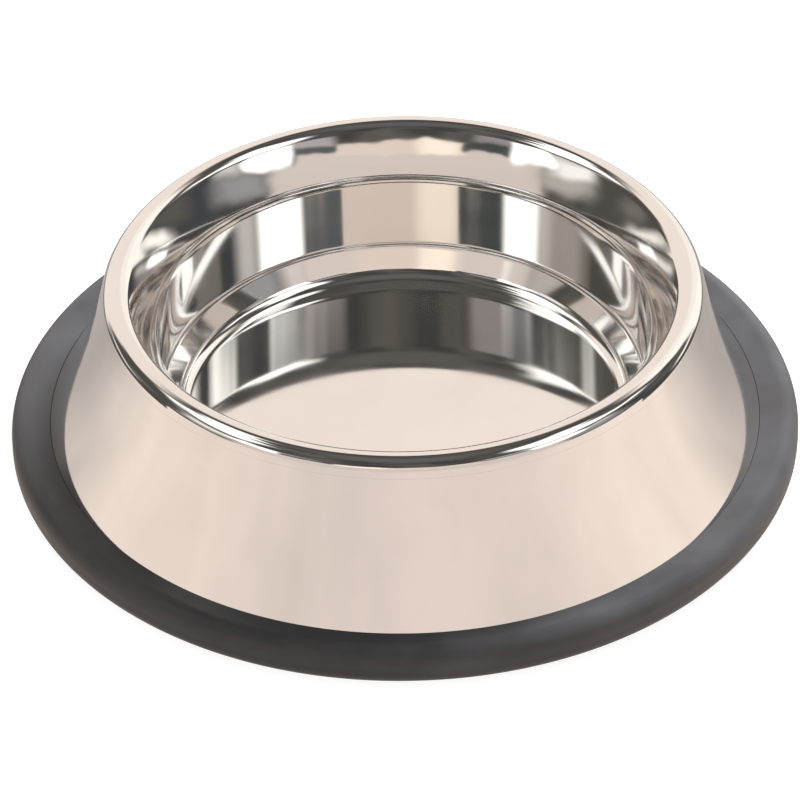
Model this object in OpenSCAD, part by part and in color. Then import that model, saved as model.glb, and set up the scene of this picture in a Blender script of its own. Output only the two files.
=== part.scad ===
// Non-tip feeding bowl: a drawn steel dish, a flared steel skirt and a rubber ring.
// Millimetres, +Z up. The origin is the centre of the ring's foot, on the floor.
// Every piece is turned about Z. A 2D outline has the radius along X and the height along Y.
// A lean is the angle between a sheet's face and the vertical.

/* [Whole bowl] */
// Outer diameter of the rubber ring
ring_d = 252; // [246:1:258]
// Outer diameter over the rolled rim
rim_d = 190.5; // [186:0.5:195]
// Height from the floor to the top of the rim
bowl_h = 61.6; // [59:0.2:66]

/* [Steel sheet] */
// Thickness of the sheet that the dish and the skirt are pressed from
sheet_t = 0.6; // [0.5:0.1:0.9]
// Gap between the two sheets where the rim locks them together
seam_gap = 0.1; // [0.05:0.05:0.2]

/* [Rim] */
// Outer radius of the roll along the top of the rim
roll_r = 5; // [4.5:0.25:5.5]
// Length of the dish's edge that lies down the skirt below the roll
hem_l = 1.6; // [1.2:0.1:3]
// Angle from outward, over the top, at which the skirt's hook ends inside the roll
hook_end = 125; // [100:5:135]

/* [Dish] */
// Gap between the floor and the underside of the dish
floor_lift = 10.4; // [9:0.2:12]
// Lean of the mouth where the roll ends inside the bowl
mouth_lean = 38; // [35:1:41]
// Radius of the flare from the mouth down to the bend
mouth_r = 62; // [56:1:66]
// Lean of the flare where the bend starts
bend_lean = 25.5; // [23:0.5:28]
// Radius of the bend from the flare into the wall
bend_r = 10.5; // [8:0.5:13]
// Lean of the dish's wall, which narrows towards its floor
wall_lean = 2; // [1:0.5:4]
// Inside radius of the turn from the wall into the cone below it
turn_r = 5; // [3:0.5:7]
// Lean of the cone between the wall and the floor
cone_lean = 32; // [28:1:36]
// Length of the cone down its face
cone_l = 6.5; // [4:0.5:8]
// Inside radius of the corner between the cone and the floor of the dish
corner_r = 5.5; // [4:0.5:7]

/* [Skirt] */
// Lean of the skirt's upper part, below the rim
skirt_lean = 14; // [12:0.5:16]
// Length of the straight upper part of the skirt
skirt_straight = 11; // [7:0.5:13]
// Face radius of the bend where the skirt turns out into the ring
foot_r = 4; // [3:0.5:5]
// Width of the flat flange that the ring grips
flange_w = 3; // [2:0.5:4]

/* [Rubber ring] */
// Height of the ring
ring_h = 12.5; // [12:0.5:14]
// Width of the ring's top from its outside to the lip on the steel
band_w = 12.5; // [11.5:0.5:13.5]
// How far the lip lies below the crown of the ring
lip_drop = 1.5; // [1:0.25:2]
// Radius of the ring's two rounded outer edges
edge_r = 5; // [4:0.5:6]
// Width of the ring's foot on the floor
foot_w = 11.5; // [10:0.5:12.5]
// Gap between the rubber and the skirt's flange
grip_gap = 0.1; // [0.05:0.05:0.2]

/* [Hidden] */
$fn = 256;
// How far the chords of an arc may lie inside it
arc_gap = 0.01;

// Centre of the rim's roll, and the ring's lip where the rubber meets the skirt's face
roll = [rim_d / 2 - roll_r, bowl_h - roll_r];
lip = [ring_d / 2 - band_w, ring_h - lip_drop];

// Dish, from the roll inwards: centres of the flare and the bend, and the top of the wall
mouth = roll + (mouth_r - roll_r) * [cos(mouth_lean), -sin(mouth_lean)];
bend = mouth + (mouth_r - bend_r) * [-cos(bend_lean), sin(bend_lean)];
wall_top = bend + bend_r * [-cos(wall_lean), sin(wall_lean)];
// From the corner's centre to the turn's, then the wall's length and both centres
cone_run = (turn_r - corner_r) * [-cos(cone_lean), sin(cone_lean)]
           + cone_l * [sin(cone_lean), cos(cone_lean)];
turn_y = floor_lift + sheet_t + corner_r + cone_run.y;
wall_l = (wall_top.y - turn_y + turn_r * sin(wall_lean)) / cos(wall_lean);
turn = [wall_top.x - wall_l * sin(wall_lean) - turn_r * cos(wall_lean), turn_y];
corner = turn - cone_run;

// Skirt, from the roll outwards: hook inside the roll, and top of the flare
hook_r = roll_r - sheet_t - seam_gap;
flare_top = roll + roll_r * [cos(skirt_lean), sin(skirt_lean)]
            + skirt_straight * [sin(skirt_lean), -cos(skirt_lean)];
// The flare's arc leaves the straight part along it and ends at the ring's lip
flare_run = lip - flare_top;
foot_lean = 2 * atan(-flare_run.x / flare_run.y) - skirt_lean;
flare_r = norm(flare_run) / 2 / sin((foot_lean - skirt_lean) / 2);
flare = flare_top + flare_r * [cos(skirt_lean), sin(skirt_lean)];
// Centre of the foot bend, and the upper face of the flange
foot = lip + foot_r * [cos(foot_lean), sin(foot_lean)];
flange_y = foot.y - foot_r;
// Length of the step under the hem
step_l = 2 * (sheet_t + seam_gap);

// Ring: centre of the upper edge's rounding, which ends where its tangent runs down to the lip
crown = [ring_d / 2 - edge_r, ring_h - edge_r];
crown_end = atan2(lip.y - crown.y, lip.x - crown.x) - acos(edge_r / norm(lip - crown));

// Points along an arc about c, from the angle a0 to a1
function arc(c, r, a0, a1) =
    let (n = ceil(abs(a1 - a0) / (2 * acos(1 - arc_gap / r))))
    [for (i = [0:n]) c + r * [cos(a0 + (a1 - a0) * i / n), sin(a0 + (a1 - a0) * i / n)]];

// A point of the straight stretch below the roll: d out from the roll's centre, and up by s
function below_roll(d, s) =
    roll + d * [cos(skirt_lean), sin(skirt_lean)] + s * [-sin(skirt_lean), cos(skirt_lean)];

// Inner face from the axis to the edge of the hem, then the outer face back
module dish_outline() {
    polygon(concat(
        [[0, floor_lift + sheet_t]],
        arc(corner, corner_r, -90, -cone_lean),
        arc(turn, turn_r, -cone_lean, -wall_lean),
        arc(bend, bend_r, 180 - wall_lean, 180 - bend_lean),
        arc(mouth, mouth_r, 180 - bend_lean, 180 - mouth_lean),
        arc(roll, roll_r, 180 - mouth_lean, skirt_lean),
        [below_roll(roll_r, -hem_l), below_roll(roll_r - sheet_t, -hem_l)],
        arc(roll, roll_r - sheet_t, skirt_lean, 180 - mouth_lean),
        arc(mouth, mouth_r - sheet_t, 180 - mouth_lean, 180 - bend_lean),
        arc(bend, bend_r - sheet_t, 180 - bend_lean, 180 - wall_lean),
        arc(turn, turn_r + sheet_t, -wall_lean, -cone_lean),
        arc(corner, corner_r + sheet_t, -cone_lean, -90),
        [[0, floor_lift]]));
}

// Outer face from the flange's edge to the end of the hook, then the inner face back.
// Under the hem, the sheet steps in over one sheet and one gap.
module skirt_outline() {
    polygon(concat(
        [[foot.x + flange_w, flange_y]],
        arc(foot, foot_r, 270, 180 + foot_lean),
        arc(flare, flare_r, 180 + foot_lean, 180 + skirt_lean),
        [below_roll(roll_r, -hem_l - seam_gap), below_roll(hook_r, -hem_l - seam_gap)],
        arc(roll, hook_r, skirt_lean, hook_end),
        arc(roll, hook_r - sheet_t, hook_end, skirt_lean),
        [below_roll(hook_r - sheet_t, -hem_l), below_roll(roll_r - sheet_t, -hem_l - step_l)],
        arc(flare, flare_r + sheet_t, 180 + skirt_lean, 180 + foot_lean),
        arc(foot, foot_r + sheet_t, 180 + foot_lean, 270),
        [[foot.x + flange_w, flange_y - sheet_t]]));
}

// Foot, round outside, top that falls to the lip, and the groove that grips the flange
module ring_outline() {
    groove_x = foot.x + flange_w + grip_gap;
    polygon(concat(
        [[crown.x - foot_w, 0]],
        arc([crown.x, edge_r], edge_r, -90, 0),
        arc(crown, edge_r, 0, crown_end),
        arc(foot, foot_r - grip_gap, 180 + foot_lean, 270),
        [[groove_x, flange_y + grip_gap], [groove_x, flange_y - sheet_t - grip_gap],
         [crown.x - foot_w, flange_y - sheet_t - grip_gap]]));
}

module dish() {
    color("lightgray") rotate_extrude() dish_outline();
}

module skirt() {
    color("silver") rotate_extrude() skirt_outline();
}

module ring() {
    color("dimgray") rotate_extrude() ring_outline();
}

dish();
skirt();
ring();
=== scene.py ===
from collections import namedtuple
from math import acos, atan, atan2, ceil, cos, pi, radians, sin

import bmesh
import bpy
from bpy.props import FloatProperty, FloatVectorProperty, PointerProperty
from mathutils import Matrix, Vector


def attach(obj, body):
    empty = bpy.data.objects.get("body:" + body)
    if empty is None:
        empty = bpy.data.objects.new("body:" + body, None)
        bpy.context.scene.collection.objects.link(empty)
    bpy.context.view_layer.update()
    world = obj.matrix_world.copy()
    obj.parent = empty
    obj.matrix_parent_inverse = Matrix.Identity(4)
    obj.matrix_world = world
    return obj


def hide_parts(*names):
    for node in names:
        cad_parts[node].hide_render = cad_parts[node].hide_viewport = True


bl_info = {
    "name": "Steel Feeding Bowl",
    "version": (1, 0, 0),
    "blender": (4, 5, 0),
    "location": "3D View > Sidebar > Feeding Bowl",
    "description": "Dresses the frame of a non-tip feeding bowl in polished steel and rubber",
    "category": "Object",
}

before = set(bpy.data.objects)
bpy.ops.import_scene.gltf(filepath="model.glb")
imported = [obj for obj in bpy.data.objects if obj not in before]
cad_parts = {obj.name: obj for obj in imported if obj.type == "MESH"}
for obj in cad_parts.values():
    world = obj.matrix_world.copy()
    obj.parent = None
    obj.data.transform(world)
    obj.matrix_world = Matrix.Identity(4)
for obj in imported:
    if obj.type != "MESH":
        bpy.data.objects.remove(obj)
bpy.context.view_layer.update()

MM = 0.001


# --- Sizes and finishes -------------------------------------------------------------------------

def length(name, description, default):
    """A size in metres, given in millimetres."""
    return FloatProperty(name=name, description=description, default=default * MM,
                         min=0.0, precision=5, subtype="DISTANCE", unit="LENGTH")


def angle(name, description, default):
    """An angle in radians, given in degrees."""
    return FloatProperty(name=name, description=description, default=radians(default),
                         subtype="ANGLE", unit="ROTATION")


def colour(name, description, default):
    """A linear colour."""
    return FloatVectorProperty(name=name, description=description, default=default, size=3,
                               min=0.0, max=1.0, subtype="COLOR")


def share(name, description, default):
    """A share between none and all."""
    return FloatProperty(name=name, description=description, default=default,
                         min=0.0, max=1.0, subtype="FACTOR")


def number(name, description, default, **limits):
    """A plain number."""
    return FloatProperty(name=name, description=description, default=default,
                         precision=5, **limits)


class BowlSizes(bpy.types.PropertyGroup):
    """Sizes that more than one piece shares"""
    ring_diameter: length("Ring Diameter", "Outer diameter of the rubber ring", 252)
    rim_diameter: length("Rim Diameter", "Outer diameter over the rolled rim", 190.5)
    height: length("Height", "From the floor to the top of the rim", 61.6)
    sheet: length("Sheet", "Thickness of the steel sheet", 0.6)
    seam_gap: length("Seam Gap", "Gap between the two sheets inside the rim", 0.1)
    roll_radius: length("Roll Radius", "Outer radius of the roll along the rim", 5)
    hem: length("Hem", "Length of the dish's edge on the skirt below the roll", 1.6)
    hem_gap: length("Hem Gap", "Gap between the hem's edge and the skirt below it", 0.005)
    hem_round: length("Hem Round", "How far the rounding of the hem's edge reaches from it", 0.03)
    skirt_lean: angle("Skirt Lean", "Lean of the skirt below the rim", 14)


class DishSizes(bpy.types.PropertyGroup):
    """Sizes of the inner dish, from its floor up"""
    floor_lift: length("Floor Lift", "From the floor to the underside of the dish", 10.4)
    corner_radius: length("Corner Radius", "Bend from the dish's floor into the cone", 5.5)
    cone_length: length("Cone Length", "Length of the cone down its face", 6.5)
    cone_lean: angle("Cone Lean", "Lean of the cone between floor and wall", 32)
    turn_radius: length("Turn Radius", "Bend from the cone into the wall", 5)
    wall_lean: angle("Wall Lean", "Lean of the dish's wall", 2)
    bend_radius: length("Bend Radius", "Bend from the wall into the flare", 10.5)
    bend_lean: angle("Bend Lean", "Lean of the flare where the bend ends", 25.5)
    mouth_radius: length("Mouth Radius", "Radius of the flare below the rim", 62)
    mouth_lean: angle("Mouth Lean", "Lean of the flare at the rim", 38)


class SkirtSizes(bpy.types.PropertyGroup):
    """Sizes of the outer skirt, from its rim down"""
    hook_end: angle("Hook End", "Where the hook ends in the roll, from outward over the top", 125)
    straight: length("Straight", "Length of the straight upper part", 11)
    foot_radius: length("Foot Radius", "Bend from the flare out into the flange", 4)
    flange: length("Flange", "Width of the flange that the ring grips", 3)


class RingSizes(bpy.types.PropertyGroup):
    """Sizes of the rubber ring"""
    height: length("Height", "Height of the ring", 12.5)
    band: length("Band", "From the ring's outside to its lip on the steel", 12.5)
    lip_drop: length("Lip Drop", "How far the lip lies below the crown", 1.5)
    edge_radius: length("Edge Radius", "Radius of the two rounded outer edges", 5)
    foot: length("Foot", "Width of the ring's foot", 11.5)
    grip_gap: length("Grip Gap", "Gap between rubber and flange", 0.1)
    ridge: length("Ridge", "How far the rounding of the foot's inner edge reaches from it", 0.8)


class SteelFinish(bpy.types.PropertyGroup):
    """Polished steel"""
    bright: colour("Bright", "Colour of the brightest polish", (0.85, 0.84, 0.83))
    worn: colour("Worn", "Colour of the duller polish", (0.82, 0.81, 0.80))
    sharp_gloss: share("Sharp Gloss", "Roughness of the brightest polish", 0.045)
    dull_gloss: share("Dull Gloss", "Roughness of the duller polish", 0.08)
    ripple: share("Ripple", "Strength of the slow waves in the drawn sheet", 0.004)
    turning: share("Turning", "Strength of the fine rings that polishing leaves", 0.004)


class RubberFinish(bpy.types.PropertyGroup):
    """Moulded rubber"""
    deep: colour("Deep", "Colour of the darker patches", (0.032, 0.032, 0.034))
    chalked: colour("Chalked", "Colour of the paler patches", (0.045, 0.045, 0.048))
    smooth: share("Smooth", "Roughness of the smoother patches", 0.42)
    matt: share("Matt", "Roughness of the duller patches", 0.55)
    shine: share("Shine", "Level of the highlights", 0.36)
    grain: share("Grain", "Strength of the fine grain", 0.15)


class StudioSettings(bpy.types.PropertyGroup):
    """Floor, paper, light and camera"""
    # Painted light and shade on the floor: the paper's own pale colour lit in front, painted pools
    # of light beside and far behind the bowl, and painted shade at its rear corners and far beside
    # it
    floor_front_light: colour("Floor Front", "Floor in front of the bowl", (0.76, 0.65, 0.59))
    floor_side_light: colour("Floor Side", "Floor beside the bowl", (0.92, 0.79, 0.70))
    floor_rear_shade: colour("Floor Rear", "Floor at the bowl's rear corners", (0.44, 0.40, 0.37))
    floor_back_light: colour("Floor Back", "Floor far behind the bowl", (0.85, 0.84, 0.82))
    floor_edge_shade: colour("Floor Edge", "Floor far beside the bowl", (0.07, 0.068, 0.064))
    floor_level: number("Floor Level", "Brightness of the floor in the steel, in times its colour",
                        1.12, min=0.0)
    paper_radius: length("Paper Radius", "From the axis to the sheet around the bowl", 220)
    paper_height: length("Paper Height", "Height of that sheet in front of the bowl", 72)
    paper_low: length("Paper Low", "Height of that sheet beside the bowl", 32)
    sky: share("Sky", "Level of the even light from all sides", 0.7)
    camera_distance: length("Camera Distance", "From the camera to its target", 1700)
    camera_rise: angle("Camera Rise", "Elevation of the camera over its target", 36.83)
    camera_roll: angle("Camera Roll", "Turn of the camera about its view", -0.89)
    camera_lens: number("Camera Lens", "Focal length in millimetres", 239.85, min=1.0)
    target_height: length("Target Height", "Height of the camera's target on the axis", 25)
    target_right: number("Target Right", "Target right of the frame's middle, in frame widths",
                         0.00588)
    target_up: number("Target Up", "Target above the frame's middle, in frame widths", 0.03438)


class FeedingBowlSettings(bpy.types.PropertyGroup):
    """All settings of the feeding bowl"""
    bowl: PointerProperty(type=BowlSizes)
    dish: PointerProperty(type=DishSizes)
    skirt: PointerProperty(type=SkirtSizes)
    ring: PointerProperty(type=RingSizes)
    steel: PointerProperty(type=SteelFinish)
    rubber: PointerProperty(type=RubberFinish)
    studio: PointerProperty(type=StudioSettings)


# --- Outlines -----------------------------------------------------------------------------------
# An outline has the radius from Z along X and the height along Y. A lean is measured from the
# vertical, and an angle about a centre counter-clockwise from outward.

# Steps of the full turn about Z
AROUND = 256
# Largest step along a bend
BEND_STEP = radians(4)
# A straight run has a step this close to each end, which keeps its face flat under smooth
# shading. A short run has none.
HOLD = 0.3 * MM
SHORT_RUN = 4 * HOLD
# Steps along the other straight runs
FLOOR_STEPS = 8
WALL_STEPS = 6
CONE_STEPS = 2
SKIRT_STEPS = 3
RING_STEPS = 3
# Vertices nearer than this are one
WELD = 0.001 * MM
# A vertex this near to a place is on it
NEAR = 10 * WELD
# Steps across a rounded edge
ROUND_STEPS = 5
# Faces that meet at a wider angle than this meet in a sharp edge
SHARP = radians(30)


def polar(reach, about):
    """The offset of that length in that direction."""
    return Vector((reach * cos(about), reach * sin(about)))


class Outline:
    """A wire in the XZ plane, drawn by carrying its tip along runs and bends"""

    def __init__(self, start):
        self.bm = bmesh.new()
        self.tip = self.bm.verts.new((start.x, 0.0, start.y))

    def run(self, to, steps=1):
        """Carries the tip straight to a point."""
        start = self.tip.co.copy()
        path = Vector((to.x, 0.0, to.y)) - start
        stops = [1.0]
        if path.length > SHORT_RUN:
            hold = HOLD / path.length
            stops = [hold, *(i / steps for i in range(1, steps)), 1.0 - hold, 1.0]
        for stop in stops:
            grown = bmesh.ops.extrude_vert_indiv(self.bm, verts=[self.tip])
            self.tip = grown["verts"][0]
            bmesh.ops.translate(self.bm, verts=[self.tip], vec=start + stop * path - self.tip.co)

    def bend(self, centre, sweep):
        """Carries the tip about a centre, counter-clockwise where the sweep is positive."""
        grown = bmesh.ops.spin(self.bm, geom=[self.tip], cent=(centre.x, 0.0, centre.y),
                               axis=(0.0, -1.0, 0.0), angle=sweep,
                               steps=ceil(abs(sweep) / BEND_STEP))
        self.tip = next(v for v in grown["geom_last"] if isinstance(v, bmesh.types.BMVert))

    def revolve(self):
        """Turns the wire about Z and returns the closed shell."""
        bm = self.bm
        bmesh.ops.remove_doubles(bm, verts=bm.verts, dist=WELD)
        bmesh.ops.spin(bm, geom=bm.verts[:] + bm.edges[:], cent=(0.0, 0.0, 0.0),
                       axis=(0.0, 0.0, 1.0), angle=2 * pi, steps=AROUND, use_merge=True)
        bmesh.ops.remove_doubles(bm, verts=bm.verts, dist=WELD)
        bmesh.ops.recalc_face_normals(bm, faces=bm.faces)
        return bm


def roll_centre(bowl):
    """Centre of the rim's roll."""
    return Vector((bowl.rim_diameter / 2 - bowl.roll_radius, bowl.height - bowl.roll_radius))


def below_roll(bowl, out, up):
    """A point of the straight stretch below the roll: out from its centre, and up along it."""
    return roll_centre(bowl) + polar(out, bowl.skirt_lean) + polar(up, bowl.skirt_lean + pi / 2)


def dish_centres(bowl, dish):
    """Centres of the dish's flare, bend, turn and corner."""
    mouth = roll_centre(bowl) + polar(dish.mouth_radius - bowl.roll_radius, -dish.mouth_lean)
    bend = mouth + polar(dish.mouth_radius - dish.bend_radius, pi - dish.bend_lean)
    wall_top = bend + polar(dish.bend_radius, pi - dish.wall_lean)
    cone_run = (polar(dish.turn_radius - dish.corner_radius, pi - dish.cone_lean)
                + polar(dish.cone_length, pi / 2 - dish.cone_lean))
    turn_height = dish.floor_lift + bowl.sheet + dish.corner_radius + cone_run.y
    inward, down = sin(dish.wall_lean), cos(dish.wall_lean)
    wall = (wall_top.y - turn_height + dish.turn_radius * inward) / down
    turn = Vector((wall_top.x - wall * inward - dish.turn_radius * down, turn_height))
    return mouth, bend, turn, turn - cone_run


FootLayout = namedtuple("FootLayout", "lean flare_radius flare foot")


def foot_layout(bowl, skirt, ring):
    """Lean at the skirt's foot, radius and centre of its flare, and centre of its foot bend."""
    top = below_roll(bowl, bowl.roll_radius, -skirt.straight)
    lip = Vector((bowl.ring_diameter / 2 - ring.band, ring.height - ring.lip_drop))
    run = lip - top
    lean = 2 * atan(-run.x / run.y) - bowl.skirt_lean
    flare_radius = run.length / 2 / sin((lean - bowl.skirt_lean) / 2)
    flare = top + polar(flare_radius, bowl.skirt_lean)
    return FootLayout(lean, flare_radius, flare, lip + polar(skirt.foot_radius, lean))


def draw_dish(bowl, dish):
    """Inner face from the axis to the edge of the hem, then the outer face back."""
    roll = roll_centre(bowl)
    mouth, bend, turn, corner = dish_centres(bowl, dish)
    floor_top = dish.floor_lift + bowl.sheet
    outline = Outline(Vector((0.0, floor_top)))
    outline.run(Vector((corner.x, floor_top)), FLOOR_STEPS)
    outline.bend(corner, pi / 2 - dish.cone_lean)
    outline.run(turn + polar(dish.turn_radius, -dish.cone_lean), CONE_STEPS)
    outline.bend(turn, dish.cone_lean - dish.wall_lean)
    outline.run(bend + polar(dish.bend_radius, pi - dish.wall_lean), WALL_STEPS)
    outline.bend(bend, dish.wall_lean - dish.bend_lean)
    outline.bend(mouth, dish.bend_lean - dish.mouth_lean)
    outline.bend(roll, bowl.skirt_lean + dish.mouth_lean - pi)
    outline.run(below_roll(bowl, bowl.roll_radius, -bowl.hem))
    outline.run(below_roll(bowl, bowl.roll_radius - bowl.sheet, -bowl.hem))
    outline.run(below_roll(bowl, bowl.roll_radius - bowl.sheet, 0.0))
    outline.bend(roll, pi - dish.mouth_lean - bowl.skirt_lean)
    outline.bend(mouth, dish.mouth_lean - dish.bend_lean)
    outline.bend(bend, dish.bend_lean - dish.wall_lean)
    outline.run(turn + polar(dish.turn_radius + bowl.sheet, -dish.wall_lean), WALL_STEPS)
    outline.bend(turn, dish.wall_lean - dish.cone_lean)
    outline.run(corner + polar(dish.corner_radius + bowl.sheet, -dish.cone_lean), CONE_STEPS)
    outline.bend(corner, dish.cone_lean - pi / 2)
    outline.run(Vector((0.0, dish.floor_lift)), FLOOR_STEPS)
    return outline


def draw_skirt(bowl, skirt, ring):
    """Outer face from the flange to the hook, then the inner face back. The sheet steps in
    under the hem."""
    roll = roll_centre(bowl)
    lean, flare_radius, flare, foot = foot_layout(bowl, skirt, ring)
    flange_top = foot.y - skirt.foot_radius
    hook_radius = bowl.roll_radius - bowl.sheet - bowl.seam_gap
    under_hem = -bowl.hem - bowl.hem_gap
    outline = Outline(Vector((foot.x + skirt.flange, flange_top)))
    outline.run(Vector((foot.x, flange_top)))
    outline.bend(foot, lean - pi / 2)
    outline.bend(flare, bowl.skirt_lean - lean)
    outline.run(below_roll(bowl, bowl.roll_radius, under_hem), SKIRT_STEPS)
    outline.run(below_roll(bowl, hook_radius, under_hem))
    outline.run(below_roll(bowl, hook_radius, 0.0))
    outline.bend(roll, skirt.hook_end - bowl.skirt_lean)
    outline.run(roll + polar(hook_radius - bowl.sheet, skirt.hook_end))
    outline.bend(roll, bowl.skirt_lean - skirt.hook_end)
    outline.run(below_roll(bowl, hook_radius - bowl.sheet, -bowl.hem))
    outline.run(below_roll(bowl, bowl.roll_radius - bowl.sheet,
                           -bowl.hem - 2 * (bowl.sheet + bowl.seam_gap)))
    outline.run(flare + polar(flare_radius + bowl.sheet, pi + bowl.skirt_lean), SKIRT_STEPS)
    outline.bend(flare, lean - bowl.skirt_lean)
    outline.bend(foot, pi / 2 - lean)
    outline.run(Vector((foot.x + skirt.flange, flange_top - bowl.sheet)))
    outline.run(Vector((foot.x + skirt.flange, flange_top)))
    return outline


def draw_ring(bowl, skirt, ring):
    """Foot, round outside, top that falls to the lip, and the groove that grips the flange."""
    layout = foot_layout(bowl, skirt, ring)
    lean, foot = layout.lean, layout.foot
    heel = Vector((bowl.ring_diameter / 2 - ring.edge_radius, ring.edge_radius))
    crown = Vector((heel.x, ring.height - ring.edge_radius))
    inside = heel.x - ring.foot
    groove = foot.x + skirt.flange + ring.grip_gap
    flange_top = foot.y - skirt.foot_radius
    groove_low = flange_top - bowl.sheet - ring.grip_gap
    lip = foot + polar(skirt.foot_radius - ring.grip_gap, pi + lean)
    # The upper edge's bend ends where its tangent runs down to the lip
    fall = lip - crown
    crown_end = atan2(fall.y, fall.x) - acos(ring.edge_radius / fall.length)
    outline = Outline(Vector((inside, 0.0)))
    outline.run(Vector((heel.x, 0.0)), RING_STEPS)
    outline.bend(heel, pi / 2)
    outline.run(crown + polar(ring.edge_radius, 0.0))
    outline.bend(crown, crown_end)
    outline.run(lip, RING_STEPS)
    outline.bend(foot, pi / 2 - lean)
    outline.run(Vector((groove, flange_top + ring.grip_gap)))
    outline.run(Vector((groove, groove_low)))
    outline.run(Vector((inside, groove_low)), RING_STEPS)
    outline.run(Vector((inside, 0.0)), RING_STEPS)
    return outline


def round_edge(bm, place, reach):
    """Rounds the full-circle edge at that radius and height."""
    def on_place(vert):
        return (Vector((vert.co.xy.length, vert.co.z)) - place).length < NEAR

    edges = [e for e in bm.edges if on_place(e.verts[0]) and on_place(e.verts[1])]
    bmesh.ops.bevel(bm, geom=edges, offset=reach, offset_type="OFFSET", affect="EDGES",
                    segments=ROUND_STEPS, profile=0.5, material=-1)


def add_object(name, data):
    """Adds an object with that data to the scene."""
    added = bpy.data.objects.new(name, data)
    bpy.context.scene.collection.objects.link(added)
    return added


def add_mesh(bm, name, material):
    """Adds the shape to the scene in that material."""
    mesh = bpy.data.meshes.new(name)
    bm.to_mesh(mesh)
    bm.free()
    mesh.materials.append(material)
    return add_object(name, mesh)


def add_piece(bm, name, node, material):
    """Adds the shell as a piece that stands for a node of the frame."""
    piece = add_mesh(bm, name, material)
    piece.data.shade_smooth()
    piece.data.set_sharp_from_angle(angle=SHARP)
    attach(piece, "root")
    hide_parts(node)


# --- Materials ----------------------------------------------------------------------------------

# A noise: its features in a metre, or in a unit of direction, and the detail in them
Texture = namedtuple("Texture", "scale detail")

STEEL_PATCHES = Texture(35.0, 4.0)
STEEL_WAVES = Texture(18.0, 1.0)
STEEL_RINGS = Texture(1.0, 2.0)
# The rings' noise is drawn in coordinates stretched by this much
RINGS_STRETCH = 1500.0
RUBBER_PATCHES = Texture(60.0, 5.0)
RUBBER_GRAIN = Texture(1800.0, 2.0)
# Noise below the first is all the one patch, and above the second all the other
PATCH_FADE = (0.35, 0.65)
# Heights of the bumps at full strength
WAVE_HEIGHT = 2 * MM
RING_HEIGHT = 0.02 * MM
GRAIN_HEIGHT = 0.1 * MM

# Numbers of the Mix node's sockets for colours
MIX_FACTOR, MIX_LOW, MIX_HIGH, MIX_RESULT = 0, 6, 7, 2


class Nodes:
    """Adds and joins the nodes of a material or of the world"""

    def __init__(self, tree):
        self.tree = tree
        tree.nodes.clear()

    def add(self, kind, inputs=(), **settings):
        """A node with its settings and, by name or number, its inputs."""
        node = self.tree.nodes.new("ShaderNode" + kind)
        for key, value in settings.items():
            setattr(node, key, value)
        for key, value in dict(inputs).items():
            if isinstance(value, bpy.types.NodeSocket):
                self.tree.links.new(value, node.inputs[key])
            else:
                node.inputs[key].default_value = value
        return node

    def math(self, operation, *values):
        """The result of a Math node."""
        return self.add("Math", enumerate(values), operation=operation).outputs[0]

    def between(self, value, low, high, start=0.0, end=1.0, kind="LINEAR"):
        """A value carried from one range to another, and held at its ends."""
        inputs = {"Value": value, "From Min": low, "From Max": high,
                  "To Min": start, "To Max": end}
        return self.add("MapRange", inputs, interpolation_type=kind).outputs["Result"]

    def step(self, value, low, high, start=0.0, end=1.0):
        """As between, with a soft start and end."""
        return self.between(value, low, high, start, end, "SMOOTHSTEP")

    def noise(self, vector, texture):
        """Noise from 0 to 1."""
        inputs = {"Vector": vector, "Scale": texture.scale, "Detail": texture.detail}
        return self.add("TexNoise", inputs).outputs["Fac"]

    def blend(self, factor, low, high):
        """A colour between two."""
        inputs = {MIX_FACTOR: factor, MIX_LOW: low, MIX_HIGH: high}
        node = self.add("Mix", inputs, data_type="RGBA", clamp_factor=True)
        return node.outputs[MIX_RESULT]

    def axes(self, vector):
        """The three coordinates of a vector."""
        return tuple(self.add("SeparateXYZ", {0: vector}).outputs)

    def radius(self, x, y):
        """The distance from Z."""
        return self.math("SQRT", self.math("ADD", self.math("MULTIPLY", x, x),
                                           self.math("MULTIPLY", y, y)))

    def azimuth(self, x, y):
        """The angle about Z in degrees, from the front (-Y) towards +X."""
        return self.math("DEGREES", self.math("ARCTAN2", x, self.math("MULTIPLY", y, -1.0)))

    def bump(self, height, strength, distance, normal=None):
        """A surface normal that follows a height."""
        inputs = {"Height": height, "Strength": strength, "Distance": distance}
        if normal is not None:
            inputs["Normal"] = normal
        return self.add("Bump", inputs).outputs["Normal"]


def rgba(values):
    """A colour with full cover."""
    return (*values, 1.0)


def shared_material(name, dress, settings):
    """The material of that name, made and dressed if it isn't there yet."""
    material = bpy.data.materials.get(name)
    if material is None:
        material = bpy.data.materials.new(name)
        material.use_nodes = True
        dress(Nodes(material.node_tree), settings)
    return material


def dress_steel(nodes, steel):
    """Polished steel: slow waves of the drawn sheet, fine rings of the polishing, and patches of
    duller polish."""
    place = nodes.add("TexCoord").outputs["Object"]
    x, y, z = nodes.axes(place)
    rings = nodes.add("CombineXYZ", {
        0: nodes.math("MULTIPLY", nodes.radius(x, y), RINGS_STRETCH),
        1: nodes.math("MULTIPLY", z, RINGS_STRETCH),
        2: nodes.math("SINE", nodes.math("ARCTAN2", y, x))}).outputs[0]
    polish = nodes.between(nodes.noise(place, STEEL_PATCHES), *PATCH_FADE)
    normal = nodes.bump(nodes.noise(place, STEEL_WAVES), steel.ripple, WAVE_HEIGHT)
    normal = nodes.bump(nodes.noise(rings, STEEL_RINGS), steel.turning, RING_HEIGHT, normal)
    shader = nodes.add("BsdfPrincipled", {
        "Base Color": nodes.blend(polish, rgba(steel.worn), rgba(steel.bright)),
        "Metallic": 1.0,
        "Roughness": nodes.between(polish, 0.0, 1.0, steel.dull_gloss, steel.sharp_gloss),
        "Normal": normal})
    nodes.add("OutputMaterial", {"Surface": shader.outputs[0]})


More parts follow.
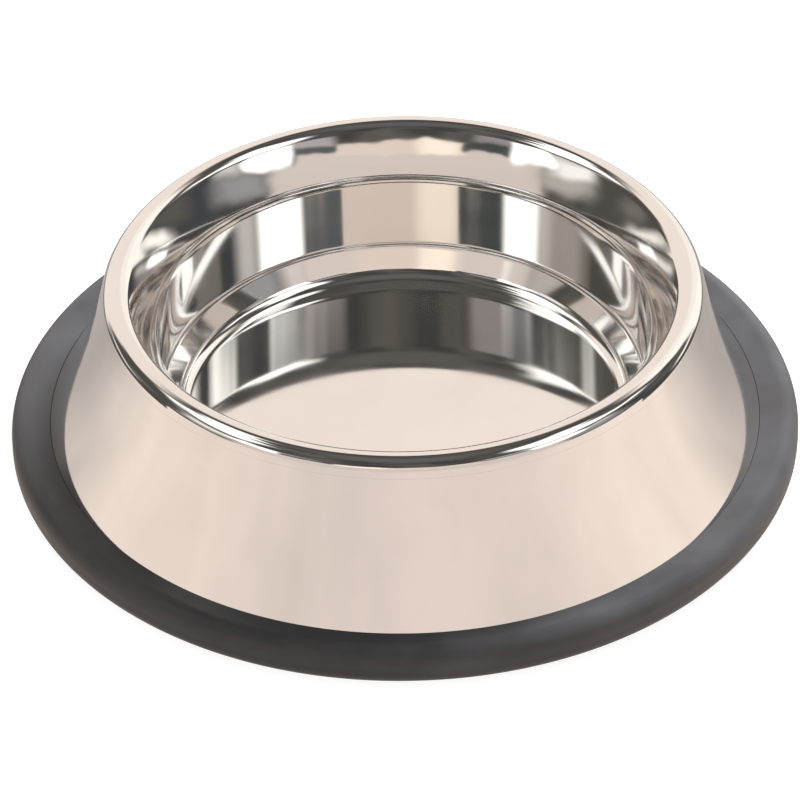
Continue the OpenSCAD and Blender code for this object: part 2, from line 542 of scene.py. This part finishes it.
def dress_rubber(nodes, rubber):
    """Moulded rubber: patches of chalky bloom and a fine grain."""
    place = nodes.add("TexCoord").outputs["Object"]
    patches = nodes.between(nodes.noise(place, RUBBER_PATCHES), *PATCH_FADE)
    grain = nodes.noise(place, RUBBER_GRAIN)
    shader = nodes.add("BsdfPrincipled", {
        "Base Color": nodes.blend(patches, rgba(rubber.deep), rgba(rubber.chalked)),
        "Roughness": nodes.between(patches, 0.0, 1.0, rubber.smooth, rubber.matt),
        "Specular IOR Level": rubber.shine,
        "Normal": nodes.bump(grain, rubber.grain, GRAIN_HEIGHT)})
    nodes.add("OutputMaterial", {"Surface": shader.outputs[0]})


# --- Studio -------------------------------------------------------------------------------------
# The polished steel mirrors the room. The room is drawn in the world as soft-edged cards on a dark
# clutter. A card lies between two azimuths, from the front (-Y) towards +X, and two elevations.
# Its edges are soft by so much in azimuth and in elevation. All are in degrees.

Card = namedtuple("Card", "azimuth elevation soft colour")

# How far a card's edge may stray, in degrees
ROOM_SWAY = 5.0
AZIMUTH_SWAY = Texture(5.0, 2.0)
ELEVATION_SWAY = Texture(3.5, 2.0)
ROOM_CLUTTER = Texture(4.0, 4.0)
CLUTTER_FADE = (0.40, 0.62)
ROOM_DARK = (0.062, 0.061, 0.058)
ROOM_DIM = (0.135, 0.122, 0.108)
ROOM_CARDS = (
    # Ceiling, and the white wall behind the bowl
    Card((-180, 180), (76, 100), (1, 5), (0.135, 0.13, 0.12)),
    Card((128, 232), (-90, 50), (5, 4), (1.02, 0.895, 0.80)),
    Card((128, 165), (-90, 50), (5, 4), (1.12, 1.03, 0.94)),
    Card((124, 146), (-90, 48), (4, 4), (1.22, 1.15, 1.06)),
    # Dark sides, with a bright gap low at each rear corner
    Card((-130, -88), (-90, 37), (4, 3), (0.090, 0.082, 0.074)),
    Card((-112, -100), (10, 17), (6, 4), (0.21, 0.19, 0.17)),
    Card((84, 124), (-90, 37), (4, 3), (0.062, 0.065, 0.069)),
    Card((98, 124), (11, 26), (6, 4), (0.115, 0.107, 0.096)),
    Card((96, 114), (31, 37), (3, 1.5), (0.24, 0.22, 0.20)),
    Card((108, 126), (3, 8.5), (6, 2.5), (1.25, 1.19, 1.08)),
    Card((-127, -108), (3, 7.5), (6, 2.5), (1.12, 1.03, 0.94)),
    # Lamps high beside the bowl
    Card((58, 112), (57, 65), (6, 2), (1.5, 1.48, 1.42)),
    Card((52, 97), (41.5, 60), (7, 2), (1.9, 1.87, 1.8)),
    Card((92, 110), (38, 45), (3, 1.5), (1.5, 1.47, 1.38)),
    Card((-142, -94), (57, 66), (6, 2), (1.5, 1.48, 1.42)),
    Card((-118, -70), (41.5, 60), (7, 2), (1.7, 1.66, 1.58)),
    Card((-108, -97), (37.5, 45), (3, 1.5), (0.80, 0.77, 0.73)),
    # Paper in front of the bowl, taller in the middle
    Card((-62, 58), (-90, 24.5), (4, 2), (0.76, 0.665, 0.60)),
    Card((-50, 46), (20, 29.8), (2, 1), (0.78, 0.68, 0.61)),
    Card((-26, 28), (27, 35.0), (0.8, 1.0), (0.88, 0.74, 0.645)),
    Card((-26, -9), (27, 35.0), (5, 1.0), (1.22, 1.06, 0.885)),
    Card((28, 48), (30.4, 34.6), (0.8, 0.8), (0.105, 0.118, 0.126)),
    Card((-48, -26), (28.9, 34.6), (0.8, 0.8), (0.066, 0.076, 0.074)),
    Card((28, 50), (34.6, 41), (4, 1.2), (0.50, 0.46, 0.45)),
    Card((-50, -32), (34.6, 41), (4, 1.2), (0.34, 0.31, 0.30)),
    # Below the white screens
    Card((58, 84), (12, 24), (7, 4), (0.36, 0.35, 0.35)),
    Card((-86, -60), (12, 23), (7, 4), (0.52, 0.48, 0.44)),
    # White screens and their paler ends
    Card((70, 84), (25, 34), (5, 3.5), (0.72, 0.68, 0.65)),
    Card((-94, -66), (29, 35.5), (6, 2), (0.42, 0.38, 0.34)),
    Card((-86, -66), (21, 30.5), (5, 3), (1.12, 1.09, 1.03)),
    Card((48, 70), (25, 38.3), (2.2, 2.2), (1.8, 1.78, 1.72)),
    Card((-67, -49), (25, 38.3), (2.2, 2.2), (1.8, 1.77, 1.70)),
)


# Where the floor's painted light and shade pass into the next: in degrees from the front on both
# sides, and in metres from the axis or behind it
SIDE_TURN = (15.0, 68.0)
REAR_TURN = (78.0, 114.0)
EDGE_TURN = (72.0, 84.0)
EDGE_REACH = (0.33, 0.40)
BACK_TURN = (122.0, 130.0)
BACK_DEPTH = (0.25, 0.6)
# The paper on the floor is a little crumpled: painted light and shade of its creases, and their
# brightness in the steel
FLOOR_CREASE_SHADE = Texture(14.0, 3.0)
CREASE_SHADE_LEVELS = (0.93, 1.05)
# What the camera sees of the floor: its own glow, and a tone that catches light and shadow
FLOOR_GLOW = 0.9
FLOOR_CATCH = 0.25
FLOOR_RADIUS = 3.0
FLOOR_SIDES = 96
WHITE = (1.0, 1.0, 1.0)

# Azimuths where the sheet around the bowl gets low and where it ends, and its step, in degrees
PAPER_FRONT = 74
PAPER_END = 115
PAPER_STEP = 3

# The level is that of a white surface at the bowl that faces the lamp
LAMP_PLACE = Vector((0.55, 0.80, 1.1))
LAMP_SIZE = 0.6
LAMP_LEVEL = 4.2

SENSOR_WIDTH = 36.0
CAMERA_CLIP = (0.05, 50.0)
# How often a ray is mirrored between the dish's walls
MIRRORINGS = 12


def card_mask(nodes, azimuth, elevation, card):
    """1 inside a card and 0 outside."""
    sides = []
    for value, (low, high), soft in ((azimuth, card.azimuth, card.soft[0]),
                                     (elevation, card.elevation, card.soft[1])):
        rise = nodes.step(value, low - soft, low + soft)
        fall = nodes.step(value, high - soft, high + soft, 1.0, 0.0)
        sides.append(nodes.math("MULTIPLY", rise, fall))
    return nodes.math("MULTIPLY", *sides)


def swayed(nodes, value, direction, texture):
    """An angle that strays, because nothing in the room has quite straight edges."""
    noise = nodes.noise(direction, texture)
    return nodes.math("ADD", value, nodes.between(noise, 0.0, 1.0, -ROOM_SWAY, ROOM_SWAY))


def room_colour(nodes):
    """The room's colour in the direction of a ray."""
    direction = nodes.add("TexCoord").outputs["Generated"]
    x, y, z = nodes.axes(direction)
    azimuth = swayed(nodes, nodes.azimuth(x, y), direction, AZIMUTH_SWAY)
    elevation = nodes.math("DEGREES", nodes.math("ARCSINE", z))
    elevation = swayed(nodes, elevation, direction, ELEVATION_SWAY)
    # The same azimuth from 0 to 360, for the cards that cross the back
    turned = nodes.math("FLOORED_MODULO", azimuth, 360.0)
    clutter = nodes.between(nodes.noise(direction, ROOM_CLUTTER), *CLUTTER_FADE)
    result = nodes.blend(clutter, rgba(ROOM_DARK), rgba(ROOM_DIM))
    for card in ROOM_CARDS:
        about = turned if card.azimuth[1] > 180 else azimuth
        mask = card_mask(nodes, about, elevation, card)
        result = nodes.blend(mask, result, rgba(card.colour))
    return result


def mirror_rays(nodes):
    """1 for a ray that comes off metal or through glass."""
    path = nodes.add("LightPath").outputs
    return nodes.math("MAXIMUM", path["Is Glossy Ray"], path["Is Transmission Ray"])


def set_world(studio):
    """White for the camera, the room for the steel, and an even level for the rest."""
    world = bpy.data.worlds.new("studio")
    world.use_nodes = True
    nodes = Nodes(world.node_tree)
    camera = nodes.add("LightPath").outputs["Is Camera Ray"]
    even = rgba([studio.sky] * 3)
    seen = nodes.blend(mirror_rays(nodes), even, room_colour(nodes))
    seen = nodes.blend(camera, seen, rgba(WHITE))
    background = nodes.add("Background", {"Color": seen, "Strength": 1.0})
    nodes.add("OutputWorld", {"Surface": background.outputs[0]})
    bpy.context.scene.world = world


def dress_floor(nodes, studio):
    """A pale floor: white for the camera, apart from the bowl's shadow, and else in painted light
    and shade over its own pale colour. In the steel it glows in that painted light."""
    place = nodes.add("TexCoord").outputs["Object"]
    x, y, _ = nodes.axes(place)
    turn = nodes.math("ABSOLUTE", nodes.azimuth(x, y))
    rear = nodes.step(turn, *REAR_TURN)
    edge = nodes.math("MULTIPLY", nodes.step(turn, *EDGE_TURN),
                      nodes.step(nodes.radius(x, y), *EDGE_REACH))
    back = nodes.math("MULTIPLY", nodes.step(turn, *BACK_TURN), nodes.step(y, *BACK_DEPTH))
    # Painted pools of light beside and behind the bowl, and painted shade at its rear corners and
    # far beside it
    shade = nodes.blend(nodes.step(turn, *SIDE_TURN), rgba(studio.floor_front_light),
                        rgba(studio.floor_side_light))
    for part, tone in ((rear, studio.floor_rear_shade), (edge, studio.floor_edge_shade),
                       (back, studio.floor_back_light)):
        shade = nodes.blend(part, shade, rgba(tone))
    diffuse = nodes.add("BsdfDiffuse", {"Color": shade}).outputs[0]
    # Painted light and shade of the crumpled paper's creases, only in the floor's glow
    crease_shade = nodes.between(nodes.noise(place, FLOOR_CREASE_SHADE), *PATCH_FADE, *CREASE_SHADE_LEVELS)
    level = nodes.math("MULTIPLY", crease_shade, studio.floor_level)
    # For the steel the floor glows with this painted light instead of being lit. Other rays see it
    # as its diffuse colour.
    mirrored = nodes.add("Emission", {"Color": shade, "Strength": level}).outputs[0]
    lit = nodes.add("MixShader", {0: mirror_rays(nodes), 1: diffuse, 2: mirrored}).outputs[0]
    white = nodes.add("Emission", {"Color": rgba(WHITE), "Strength": FLOOR_GLOW}).outputs[0]
    catch = nodes.add("BsdfDiffuse", {"Color": rgba([FLOOR_CATCH] * 3)}).outputs[0]
    bright = nodes.add("AddShader", {0: white, 1: catch}).outputs[0]
    camera = nodes.add("LightPath").outputs["Is Camera Ray"]
    surface = nodes.add("MixShader", {0: camera, 1: lit, 2: bright}).outputs[0]
    nodes.add("OutputMaterial", {"Surface": surface})


def add_floor(studio):
    """A round floor."""
    bm = bmesh.new()
    bmesh.ops.create_circle(bm, cap_ends=True, segments=FLOOR_SIDES, radius=FLOOR_RADIUS)
    floor = add_mesh(bm, "studio_floor", shared_material("studio_floor", dress_floor, studio))


def add_paper(studio, start, end, height):
    """A pale sheet around the bowl between two azimuths. Only the steel sees it, glowing in the
    floor's painted light and shade.
    """
    bm = bmesh.new()
    foot = bm.verts.new((0.0, -studio.paper_radius, 0.0))
    grown = bmesh.ops.extrude_vert_indiv(bm, verts=[foot])
    bmesh.ops.translate(bm, verts=grown["verts"], vec=(0.0, 0.0, height))
    bmesh.ops.rotate(bm, verts=bm.verts, cent=(0.0, 0.0, 0.0),
                     matrix=Matrix.Rotation(radians(start), 3, "Z"))
    bmesh.ops.spin(bm, geom=bm.verts[:] + bm.edges[:], cent=(0.0, 0.0, 0.0),
                   axis=(0.0, 0.0, 1.0), angle=radians(end - start),
                   steps=ceil((end - start) / PAPER_STEP))
    paper = add_mesh(bm, "studio_paper", shared_material("studio_floor", dress_floor, studio))
    paper.visible_camera = False
    paper.visible_diffuse = False
    paper.visible_shadow = False


def add_camera(studio):
    """The photograph's view: aimed at the target, turned to put it off the middle, and rolled."""
    camera = bpy.data.cameras.new("camera")
    camera.lens = studio.camera_lens
    camera.sensor_width = SENSOR_WIDTH
    camera.clip_start, camera.clip_end = CAMERA_CLIP
    # How far away the frame is, in its own widths
    widths = camera.lens / camera.sensor_width
    aim = (Matrix.Rotation(pi / 2 - studio.camera_rise, 3, "X")
           @ Matrix.Rotation(atan(studio.target_right / widths), 3, "Y")
           @ Matrix.Rotation(-atan(studio.target_up / widths), 3, "X")
           @ Matrix.Rotation(studio.camera_roll, 3, "Z"))
    place = Vector((0.0, -studio.camera_distance * cos(studio.camera_rise),
                    studio.target_height + studio.camera_distance * sin(studio.camera_rise)))
    view = add_object("camera", camera)
    view.matrix_world = Matrix.Translation(place) @ aim.to_4x4()
    bpy.context.scene.camera = view


def add_lamp():
    """A square lamp high behind the bowl, which faces it. The steel doesn't mirror it."""
    lamp = bpy.data.lights.new("back_lamp", "AREA")
    lamp.size = LAMP_SIZE
    lamp.energy = LAMP_LEVEL * pi * LAMP_PLACE.length_squared * pi
    holder = add_object("back_lamp", lamp)
    holder.location = LAMP_PLACE
    holder.rotation_euler = LAMP_PLACE.to_track_quat("Z", "Y").to_euler()
    holder.visible_camera = False
    holder.visible_glossy = False


# --- Operators ----------------------------------------------------------------------------------

class FEEDINGBOWL_OT_make_dish(bpy.types.Operator):
    """Make the inner steel dish with its rolled rim"""
    bl_idname = "feeding_bowl.make_dish"
    bl_label = "Make Dish"

    def execute(self, context):
        settings = context.scene.feeding_bowl
        bowl = settings.bowl
        shell = draw_dish(bowl, settings.dish).revolve()
        round_edge(shell, below_roll(bowl, bowl.roll_radius, -bowl.hem), bowl.hem_round)
        steel = shared_material("mirror_steel", dress_steel, settings.steel)
        add_piece(shell, "drawn_dish", "dish", steel)
        return {"FINISHED"}


class FEEDINGBOWL_OT_make_skirt(bpy.types.Operator):
    """Make the flared steel skirt"""
    bl_idname = "feeding_bowl.make_skirt"
    bl_label = "Make Skirt"

    def execute(self, context):
        settings = context.scene.feeding_bowl
        shell = draw_skirt(settings.bowl, settings.skirt, settings.ring).revolve()
        steel = shared_material("mirror_steel", dress_steel, settings.steel)
        add_piece(shell, "flared_skirt", "skirt", steel)
        return {"FINISHED"}


class FEEDINGBOWL_OT_make_ring(bpy.types.Operator):
    """Make the rubber ring around the foot"""
    bl_idname = "feeding_bowl.make_ring"
    bl_label = "Make Ring"

    def execute(self, context):
        settings = context.scene.feeding_bowl
        bowl, ring = settings.bowl, settings.ring
        shell = draw_ring(bowl, settings.skirt, ring).revolve()
        inside = bowl.ring_diameter / 2 - ring.edge_radius - ring.foot
        round_edge(shell, Vector((inside, 0.0)), ring.ridge)
        rubber = shared_material("moulded_rubber", dress_rubber, settings.rubber)
        add_piece(shell, "foot_ring", "ring", rubber)
        return {"FINISHED"}


class FEEDINGBOWL_OT_make_stage(bpy.types.Operator):
    """Make the floor, the paper, the light and the camera"""
    bl_idname = "feeding_bowl.make_stage"
    bl_label = "Make Stage"

    def execute(self, context):
        studio = context.scene.feeding_bowl.studio
        add_floor(studio)
        add_paper(studio, -PAPER_FRONT, PAPER_FRONT, studio.paper_height)
        add_paper(studio, PAPER_FRONT, PAPER_END, studio.paper_low)
        add_paper(studio, -PAPER_END, -PAPER_FRONT, studio.paper_low)
        set_world(studio)
        add_lamp()
        add_camera(studio)
        context.scene.view_settings.view_transform = "Standard"
        context.scene.cycles.glossy_bounces = MIRRORINGS
        return {"FINISHED"}


class VIEW3D_PT_feeding_bowl(bpy.types.Panel):
    """Sizes, finishes and steps of the feeding bowl"""
    bl_label = "Feeding Bowl"
    bl_space_type = "VIEW_3D"
    bl_region_type = "UI"
    bl_category = "Feeding Bowl"

    def draw(self, context):
        settings = context.scene.feeding_bowl
        for name in ("bowl", "dish", "skirt", "ring", "steel", "rubber", "studio"):
            group = getattr(settings, name)
            box = self.layout.box()
            box.label(text=name.capitalize())
            for key in group.bl_rna.properties.keys():
                if key not in ("rna_type", "name"):
                    box.prop(group, key)
        for step in STEPS:
            self.layout.operator(step.bl_idname)


STEPS = (FEEDINGBOWL_OT_make_dish, FEEDINGBOWL_OT_make_skirt, FEEDINGBOWL_OT_make_ring,
         FEEDINGBOWL_OT_make_stage)
CLASSES = (BowlSizes, DishSizes, SkirtSizes, RingSizes, SteelFinish, RubberFinish, StudioSettings,
           FeedingBowlSettings, *STEPS, VIEW3D_PT_feeding_bowl)


def register():
    for entry in CLASSES:
        bpy.utils.register_class(entry)
    bpy.types.Scene.feeding_bowl = PointerProperty(type=FeedingBowlSettings)


def unregister():
    del bpy.types.Scene.feeding_bowl
    for entry in reversed(CLASSES):
        bpy.utils.unregister_class(entry)


def main():
    """Makes every piece and the stage."""
    register()
    bpy.ops.feeding_bowl.make_dish()
    bpy.ops.feeding_bowl.make_skirt()
    bpy.ops.feeding_bowl.make_ring()
    bpy.ops.feeding_bowl.make_stage()


if __name__ == "__main__":
    main()
